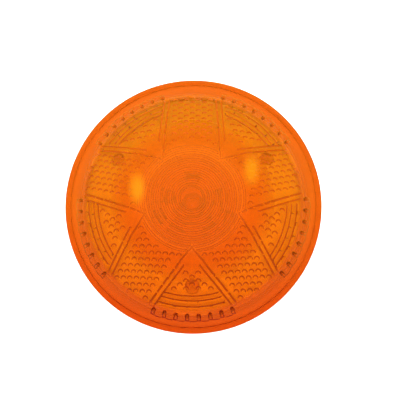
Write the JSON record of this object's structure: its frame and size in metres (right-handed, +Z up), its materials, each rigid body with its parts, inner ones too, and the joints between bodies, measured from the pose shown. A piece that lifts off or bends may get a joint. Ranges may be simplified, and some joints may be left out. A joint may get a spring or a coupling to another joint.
{
  "type": "raised pavement marker",
  "caption": "Round domed raised pavement marker: amber Fresnel lens with ribs and lenslet fields on a shallow base with battery, LEDs and reflector tray; lens twists on a bayonet.",
  "frame": {"origin": "centre of the base's flat underside, where it is glued to the road", "axes": "+Z up out of the road along the marker's axis of symmetry; -Y is the direction of one rib's point seen from the centre, so a lenslet field faces +Y"},
  "size_m": [0.102, 0.102, 0.025],
  "materials": {
    "amber_lens": "clear amber polycarbonate, moulded optics",
    "base_shell": "fine moulded grain, white",
    "seal_rubber": "matte silicone, natural",
    "reflector_white": "white, satin",
    "carrier_black": "moulded black",
    "cell_sleeve": "shrink sleeve on a steel can",
    "contact_metal": "nickel-plated strip",
    "lead_red": "insulated wire",
    "lead_black": "insulated wire",
    "circuit_board": "white solder mask",
    "insert_brass": "turned",
    "screw_steel": "zinc plated",
    "led_package": "ceramic with phosphor",
    "led_silicone": "clear silicone",
    "component_black": "moulded epoxy",
    "capacitor_ceramic": "ceramic with tinned ends",
    "sensor_clear": "clear epoxy",
    "knob_red": "moulded red"
  },
  "bodies": {
    "housing": {"anchor_insert_1": "insert_brass", "anchor_insert_2": "insert_brass", "anchor_insert_3": "insert_brass", "ballast_resistor_1": "component_black", "ballast_resistor_2": "component_black", "ballast_resistor_3": "component_black", "ballast_resistor_4": "component_black", "ballast_resistor_5": "component_black", "base_shell": "base_shell", "battery_carrier": "carrier_black", "battery_cell_1": "cell_sleeve", "battery_cell_2": "cell_sleeve", "battery_cell_3": "cell_sleeve", "battery_lead_black": "lead_black", "battery_lead_red": "lead_red", "board_screws": "screw_steel", "cell_link_1": "contact_metal", "cell_link_2": "contact_metal", "center_led": "led_package", "center_led_dome": "led_silicone", "driver_chip": "component_black", "dusk_sensor": "sensor_clear", "inductor": "component_black", "input_capacitor": "capacitor_ceramic", "led_board": "circuit_board", "lens_seal": "seal_rubber", "power_switch_housing": "component_black", "reflector_tray": "reflector_white", "ring_led_1": "led_package", "ring_led_2": "led_package", "ring_led_3": "led_package", "ring_led_4": "led_package", "ring_led_5": "led_package", "terminal_minus": "contact_metal", "terminal_plus": "contact_metal", "tray_screws": "screw_steel"},
    "lens": {"amber_lens": "amber_lens"},
    "switch_slider": {"power_switch_slider": "knob_red"}
  },
  "joints": [
    {"name": "lens_twist", "type": "hinge", "parent": "housing", "child": "lens", "pos_m": [0, 0, 0.004], "axis": [0, 0, 1], "range_deg": [0, 18]},
    {"name": "switch_slide", "type": "slide", "parent": "housing", "child": "switch_slider", "axis": [0.309, -0.9511, 0], "range_m": [0, 0.002]}
  ]
}
